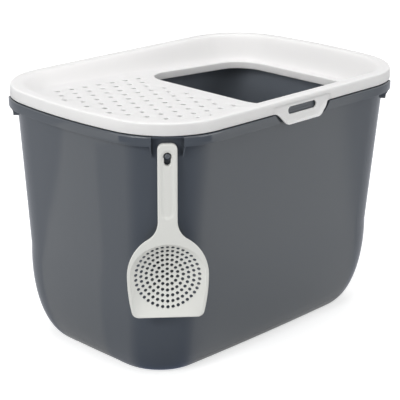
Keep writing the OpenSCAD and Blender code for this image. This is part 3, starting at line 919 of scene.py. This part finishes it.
def latch_form():
    """One latch in its place at the front, and the tool that cuts its finger slot."""
    loop = evenly(latch_outline(), 0.0012)
    draft = math.atan(SKIRT_DRAFT / (SKIRT_H - CREST_R))
    flare_w, flare_power, back_share = 0.0052, 2.2, 0.55
    flare_top, flare_fade = -LATCH_ROOT_H + 0.001, 0.009
    edge_r, hair = 0.001, 0.00002

    def lower(p):
        """0 at the root, 1 in the tab below it."""
        return ease((flare_top - p[:, 1]) / flare_fade)

    def bow(p):
        """How far the side of the box falls back from its middle."""
        return RIM[4] - np.sqrt(RIM[4] ** 2 - p[:, 0] ** 2)

    def lip(p):
        near = np.clip(1 - distance(p, loop) / flare_w, 0, 1)
        return LIP_H * near**flare_power * lower(p)

    form = sheet(loop, 0.0016, lambda p: lip(p) - bow(p),
                 lambda p: back_share * lip(p) - bow(p) - LID_WALL,
                 lambda p: hair + edge_r * lower(p))
    outer_in = SKIRT_STEP + SKIRT_DRAFT * LATCH_ROOT_H / (SKIRT_H - CREST_R)
    place = (Matrix.Translation((0, -HALF_W + outer_in, HINGE_Z))
             @ Matrix.Rotation(math.pi / 2 - draft, 4, "X"))
    levels = [(0, -10 * PAST)] + flare(0.0009)
    slot = loft([flat_ring(finger_slot(d), z) for d, z in levels])
    slot = slot.placed(Matrix.Translation((0, -LATCH_ROOT_H, 0)))
    return form.placed(place), slot.placed(place)


def make_latch(body, name, turn):
    form, slot = latch_form()
    latch = carved(form.placed(turn).make(name), slot.placed(turn), "DIFFERENCE")
    return finished(latch, LID_PLASTIC, body, body)


# Scoop

BOWL_MID = 0.064
BOWL_TOP = 0.0615
BOWL_LOW = 0.125
TIP_R = 0.010
TIP_TURN = math.radians(13)
LOW_TURN = math.asin((BOWL_MID - TIP_R * 0.8) / BOWL_LOW)
TIP_X = BOWL_W / 2 * math.cos(LOW_TURN) - TIP_R * math.cos(TIP_TURN)
NECK_Z = BOWL_MID + BOWL_TOP + 0.0175
NECK_R = 0.030
NECK_TURN = math.radians(56)
HANDLE_CORNER_R = 0.008
DISH_MID = 0.059
DISH_TOP = 0.051
LAND_W = 0.0038
DISH_HALF_W = BOWL_W / 2 - LAND_W
DISH_LOW = BOWL_LOW - 0.002
TIP_EDGE = 0.0012
KEY_TOP = SCOOP_L - 0.013
KEY_D = PEG_D + 0.0032
KEY_LOW_D = PEG_D + 0.0018
KEY_DROP = 0.0086
GROOVE_W = 0.0185
GROOVE_DEPTH = 0.0015
GROOVE_LOW = NECK_Z + 0.0135
GROOVE_HIGH = KEY_TOP + 0.0035 - GROOVE_W / 2


def scoop_outline():
    """Right half from the tip up to the handle's end, then the left half."""
    tip = [(TIP_X + TIP_R * math.cos(a), TIP_R + TIP_R * math.sin(a))
           for a in np.linspace(-math.pi / 2, -TIP_TURN, 8)]
    low = [(BOWL_W / 2 * math.cos(a), BOWL_MID - BOWL_LOW * math.sin(a))
           for a in np.linspace(LOW_TURN * 0.8, 0, 8)]
    neck_angle = math.acos((HANDLE_W / 2 + NECK_R * (1 - math.cos(NECK_TURN))) / (BOWL_W / 2))
    top = [(BOWL_W / 2 * math.cos(a), BOWL_MID + BOWL_TOP * math.sin(a))
           for a in np.linspace(0, neck_angle, 24)[1:]]
    neck = [(HANDLE_W / 2 + NECK_R + NECK_R * math.cos(a), NECK_Z + NECK_R * math.sin(a))
            for a in math.pi + np.linspace(NECK_TURN, 0, 14)]
    end = [(HANDLE_W / 2 - HANDLE_CORNER_R + HANDLE_CORNER_R * math.cos(a),
            SCOOP_L - HANDLE_CORNER_R + HANDLE_CORNER_R * math.sin(a))
           for a in np.radians(np.linspace(0, 90, 8))]
    right = np.array(tip + low + top + neck + end)
    left = right[::-1] * np.array([-1, 1])
    return evenly(np.vstack([right, left]), 0.0012, 3)


def dish_half(y):
    """Half width of the dish at a height."""
    t = np.where(y > BOWL_MID, (y - BOWL_MID) / (DISH_MID + DISH_TOP - BOWL_MID),
                 (BOWL_MID - y) / DISH_LOW)
    wide = DISH_HALF_W * np.sqrt(np.clip(1 - t**2, 0.0004, 1))
    tip = TIP_X + np.sqrt(np.clip((TIP_R - 2 * TIP_EDGE) ** 2 - (TIP_R - y) ** 2, 0, 1))
    return np.where(y < TIP_R, np.minimum(wide, tip), wide)


def dish_depth(y):
    """Depth along the dish's middle: deepest at DISH_MID, level with the land at both ends."""
    up = np.clip((y - DISH_MID) / DISH_TOP, 0, 1)
    down = np.clip((DISH_MID - y) / (DISH_MID - TIP_EDGE), 0, 1)
    return BOWL_DEPTH * (1 - 0.42 * up**2 - 0.58 * up**4 - 0.62 * down - 0.38 * down**2)


def dish(p):
    """Bowl that flattens into a tray with steep sides towards the tip."""
    q = np.clip(np.abs(p[:, 0]) / dish_half(p[:, 1]), 0, 1)
    bowl, tray = 1 - 0.76 * q**2 - 0.24 * q**4, 1 - q**5
    return -dish_depth(p[:, 1]) * mix(bowl, tray, ease((DISH_MID - p[:, 1]) / DISH_MID))


def groove(p):
    """Thumb groove: a shallow channel with round ends."""
    y = np.clip(p[:, 1], GROOVE_LOW, GROOVE_HIGH)
    off = np.hypot(p[:, 0], p[:, 1] - y) / (GROOVE_W / 2)
    return -GROOVE_DEPTH * (1 - np.clip(off, 0, 1) ** 6)


def handle_share(p):
    """0 in the bowl, 1 in the handle."""
    below_neck, run = 0.016, 0.026
    return ease((p[:, 1] - NECK_Z + below_neck) / run)


def circle_loop(x, y, r, steps):
    a = np.arange(steps) * 2 * math.pi / steps
    return np.column_stack([x + r * np.cos(a), y + r * np.sin(a)])


def dish_crease():
    """Line where the dish meets the land round it."""
    top = DISH_MID + DISH_TOP
    y = mix(TIP_EDGE + 0.0008, top - 0.0002, (1 - np.cos(np.linspace(0, math.pi, 70))) / 2)
    right = np.column_stack([dish_half(y), y])
    left = right[::-1] * np.array([-1, 1])
    return evenly(np.vstack([right, left]), 0.0015)


def groove_crease():
    """Line round the thumb groove."""
    low = circle_loop(0, GROOVE_LOW, GROOVE_W / 2, 40)
    high = circle_loop(0, GROOVE_HIGH, GROOVE_W / 2, 40)
    return evenly(np.vstack([high[:21], low[20:]]), 0.0015)


def key_loop(offset):
    """Keyhole outline: a round head over a narrower slot with a round foot."""
    head_y = KEY_TOP - KEY_D / 2
    foot_y = head_y - KEY_DROP
    r, s = KEY_D / 2 + offset, KEY_LOW_D / 2 + offset
    join = -math.acos(s / r)
    head = [(r * math.cos(a), head_y + r * math.sin(a))
            for a in np.linspace(join, math.pi - join, 24)]
    foot = [(s * math.cos(a), foot_y + s * math.sin(a))
            for a in np.linspace(math.pi, 2 * math.pi, 16)]
    return np.array(head + foot)


def sieve_nodes():
    """Rings of round holes about a centre hole."""
    tree, links = group_inputs("sieve_holes", {
        "Tool": "Object", "Pitch": "Float", "Material": "Material"})
    rings = [tree.add("GeometryNodeMeshCircle", {}, {
        "Vertices": count, "Radius": links["Pitch"] * (k + 1)})
        for k, count in enumerate(SIFT_RINGS)]
    centre = tree.add("GeometryNodePoints", {}, {"Count": 1})
    points = tree.add("GeometryNodeJoinGeometry", {}, {"Geometry": rings + [centre]})
    perforate(tree, links, points, (0, 0, -math.pi / 2), (0, DISH_MID, 0))
    return tree


def scoop_place():
    """From the flat drawing to the corner, with the keyhole just above the peg."""
    peg_root, hang_gap = wall_in(PEG_Z) + TUB_WALL / 2, 0.0003
    crest = PEG_Z + (peg_root - FACE_IN) * math.tan(PEG_SLANT) + PEG_D / 2 / math.cos(PEG_SLANT)
    tip_z = crest + hang_gap - KEY_TOP
    pivot = Vector((0, 0, KEY_TOP - KEY_D / 2))
    upright = Matrix(((0, 0, 1, 0), (1, 0, 0, 0), (0, 1, 0, 0), (0, 0, 0, 1)))
    hang = (Matrix.Translation(Vector((-FACE_IN, 0, tip_z)) + pivot)
            @ Matrix.Rotation(HANG_LEAN, 4, "X") @ Matrix.Translation(-pivot))
    return at_corner(-1, -1) @ hang @ upright


def make_scoop():
    bowl_edge_r, handle_edge_r = 0.0011, 0.0026
    spacing = 0.0018
    key_below = -0.012
    sieve_below, sieve_above, sieve_sides = -0.03, 0.005, 28

    def front(p):
        return dish(p) + groove(p)

    def back(p):
        share = handle_share(p)
        return mix(dish(p) - SCOOP_WALL, -HANDLE_T, share)

    form = sheet(scoop_outline(), spacing, front, back,
                 lambda p: mix(bowl_edge_r, handle_edge_r, handle_share(p)),
                 (dish_crease(), groove_crease()))
    scoop = form.make("sifting_scoop")
    levels = [(0, key_below)] + [(d, z - GROOVE_DEPTH) for d, z in flare(0.0013)]
    carved(scoop, loft([flat_ring(key_loop(d), z) for d, z in levels]), "DIFFERENCE")
    pin = [(SIFT_D / 2, sieve_below), (SIFT_D / 2, sieve_above)]
    tool = revolve(pin, sieve_sides).make("sieve_tool")
    through_nodes(scoop, sieve_nodes(), {
        "Tool": tool, "Pitch": SIFT_PITCH, "Material": SCOOP_PLASTIC})
    bpy.data.objects.remove(tool)
    scoop.data.transform(scoop_place())
    return finished(scoop, SCOOP_PLASTIC, "scoop", "scoop", sharp=38)


# Studio


def set_camera():
    """Camera solved from the photograph's outlines, for a square frame."""
    frame_px = 400
    focal_px = 1369.78
    centre_px = (171.77, 215.78)
    azimuth, pitch, roll = math.radians(45.123), math.radians(19.711), math.radians(0.425)
    place = (-1.49728, -1.42044, 0.90459)
    data = bpy.data.cameras.new("camera")
    data.sensor_width = 36
    data.lens = focal_px / frame_px * data.sensor_width
    data.shift_x = 0.5 - centre_px[0] / frame_px
    data.shift_y = centre_px[1] / frame_px - 0.5
    data.clip_end = 50
    camera = bpy.data.objects.new("camera", data)
    bpy.context.scene.collection.objects.link(camera)
    turn = (Matrix.Rotation(-azimuth, 4, "Z") @ Matrix.Rotation(math.pi / 2 - pitch, 4, "X")
            @ Matrix.Rotation(roll, 4, "Z"))
    camera.matrix_world = Matrix.Translation(place) @ turn
    bpy.context.scene.camera = camera


def panel_lamp(name, centre, aim, size, radiance, colour=(1, 1, 1)):
    """Soft rectangular lamp: at a radiance of 1 it is as bright as white."""
    data = bpy.data.lights.new(name, "AREA")
    data.shape = "RECTANGLE"
    data.size, data.size_y = size
    data.energy = radiance * math.pi * size[0] * size[1]
    data.color = colour
    lamp = bpy.data.objects.new(name, data)
    bpy.context.scene.collection.objects.link(lamp)
    lamp.location = centre
    lamp.rotation_euler = (Vector(aim) - Vector(centre)).to_track_quat("-Z", "Y").to_euler()


def set_lamps():
    centre, low_centre = (0, 0, 0.3), (0, 0, 0.2)
    panel_lamp("top_box", (0.1, 0.2, 2.6), centre, (2.4, 2.4), 2.05, (1.0, 0.985, 1.0))
    panel_lamp("key_box", (-2.65, -0.45, 1.45), centre, (1.0, 1.0), 9.0)
    panel_lamp("left_box", (-2.6, 0.5, 0.9), low_centre, (1.6, 1.8), 1.5)
    panel_lamp("right_box", (1.0, -2.6, 0.9), low_centre, (1.8, 1.8), 2.8)


def seen_ray(tree):
    """1 for rays that show a surface: straight from the camera, mirrored, or through glass."""
    straight = tree.add("ShaderNodeLightPath", output="Is Camera Ray")
    mirrored, through = (straight.beside(f"Is {kind} Ray") for kind in ("Glossy", "Transmission"))
    return straight.math("MAXIMUM", mirrored).math("MAXIMUM", through)


def set_world():
    """White where it is seen or mirrored, and a dimmer even fill as a source of light."""
    world = bpy.data.worlds.new("studio")
    tree = emptied(world)
    fill = tree.add("ShaderNodeBackground", {}, {"Color": (0.97, 1.0, 0.98, 1), "Strength": 0.26})
    white = tree.add("ShaderNodeBackground", {}, {"Color": (1, 1, 1, 1), "Strength": 1.0})
    surface = tree.add("ShaderNodeMixShader", {}, {0: seen_ray(tree), 1: fill, 2: white})
    tree.add("ShaderNodeOutputWorld", {}, {"Surface": surface})
    bpy.context.scene.world = world


def stage_square(name, reach, z, material):
    """Large square that lies flat round the origin, as part of the studio."""
    flat = [(-reach, -reach), (reach, -reach), (reach, reach), (-reach, reach)]
    square = Form(flat_ring(flat, z), [[0, 1, 2, 3]]).make(name)
    square.data.materials.append(material)
    return square


def distance_out(tree, place):
    return tree.add("ShaderNodeVectorMath", {"operation": "LENGTH"}, {0: place}, output="Value")


def set_floor():
    """White floor that keeps the object's shadow and fades into the white behind it."""
    glow_at_rest, glow_straight, glow_outwards = 0.25, 0.35, 0.1
    material = bpy.data.materials.new("white_sweep")
    tree = emptied(material)
    place = tree.add("ShaderNodeTexCoord", output="Object")
    straight = tree.add("ShaderNodeLightPath", output="Is Camera Ray")
    strength = (glow_at_rest + glow_straight * straight
                + glow_outwards * distance_out(tree, place))
    matt = tree.add("ShaderNodeBsdfDiffuse", {}, {"Color": (0.8, 0.8, 0.8, 1)})
    glow = tree.add("ShaderNodeEmission", {}, {"Color": (1, 1, 1, 1), "Strength": strength})
    both = tree.add("ShaderNodeAddShader", {}, {0: matt, 1: glow})
    bounce = tree.add("ShaderNodeBsdfDiffuse", {}, {"Color": (0.55, 0.55, 0.55, 1)})
    surface = tree.add("ShaderNodeMixShader", {}, {0: seen_ray(tree), 1: bounce, 2: both})
    tree.add("ShaderNodeOutputMaterial", {}, {"Surface": surface})
    stage_square("floor", 8.0, -0.0002, material)


def set_painted_dark_reflections():
    """Dark glowing sheets on the floor round the near side that only mirrored rays see: painted
    dark reflections in the glossy walls. They are shares of one square that is centred on the
    near corner, with x outwards. Turn is the angle from x, seen from a point behind the corner."""
    behind, far_from = 0.1, 1.0
    edge_share, end_share = 0.35, 0.45
    near_corner = at_corner(-1, -1)
    material = bpy.data.materials.new("painted_reflection_navy")
    tree = emptied(material)
    place = tree.add("ShaderNodeTexCoord", output="Object")

    def step(value, low, high):
        return tree.add("ShaderNodeMapRange", {"interpolation_type": "SMOOTHSTEP"}, {
            "Value": value, "From Min": low, "From Max": high}, output="Result")

    def right_of(start, end, blur):
        """0 to the left of a line across the floor, 1 to its right."""
        first, last = (near_corner.inverted() @ Vector((*p, 0)) for p in (start, end))
        across = Vector((last.y - first.y, first.x - last.x, 0)).normalized()
        gap = tree.add("ShaderNodeVectorMath", {"operation": "DOT_PRODUCT"},
                       {0: place, 1: across}, output="Value")
        return step(gap - across @ first, -blur, blur)

    outwards = tree.add("ShaderNodeSeparateXYZ", {}, {"Vector": place}, output="X")
    sideways = outwards.beside("Y")
    turn = sideways.math("ABSOLUTE").math("ARCTAN2", outwards + behind)
    left = step(sideways, 0.02, -0.02)
    far = step(distance_out(tree, place), far_from - 0.05, far_from + 0.05)
    near_reflection = step(turn, math.radians(90), math.radians(42)) * (1 - far)
    far_reflection = step(turn, math.radians(70.5), math.radians(68)) * far
    left_edge = (right_of((-0.837, 0.455), (-0.451, 0.147), 0.006) * (1 - far)
                 * left * edge_share)
    left_end = right_of((-0.435, 0.398), (-0.981, 1.241), 0.006) * left * end_share
    right_end = right_of((0.95, -0.76), (0.60, -0.46), 0.03) * end_share
    thick = near_reflection
    for reflection_part in (far_reflection, left_edge, left_end, right_end):
        thick = thick.math("MAXIMUM", reflection_part)
    bare = tree.add("ShaderNodeBsdfTransparent")
    # Dim navy glow seen only by mirrored rays: a painted dark reflection in the glossy tub.
    dark = tree.add("ShaderNodeEmission", {}, {"Color": (0.18, 0.22, 0.33, 1), "Strength": 1.0})
    surface = tree.add("ShaderNodeMixShader", {}, {0: thick, 1: bare, 2: dark})
    tree.add("ShaderNodeOutputMaterial", {}, {"Surface": surface})
    # The sheet that carries the painted dark reflections; camera, diffuse and shadow rays pass it
    # by.
    reflection_sheet = stage_square("dark_cloths", 5.0, 0.0004, material)
    reflection_sheet.matrix_world = near_corner
    reflection_sheet.visible_camera = reflection_sheet.visible_diffuse = reflection_sheet.visible_shadow = False
    reflection_sheet.visible_transmission = reflection_sheet.visible_volume_scatter = False


set_camera()
make_tub()
make_lid()
make_latch("latch_front", "front_latch_tab", BOTH_SIDES[0])
make_latch("latch_rear", "rear_latch_tab", BOTH_SIDES[1])
make_scoop()
set_world()
set_floor()
set_painted_dark_reflections()
set_lamps()
bpy.context.scene.view_settings.view_transform = "Standard"
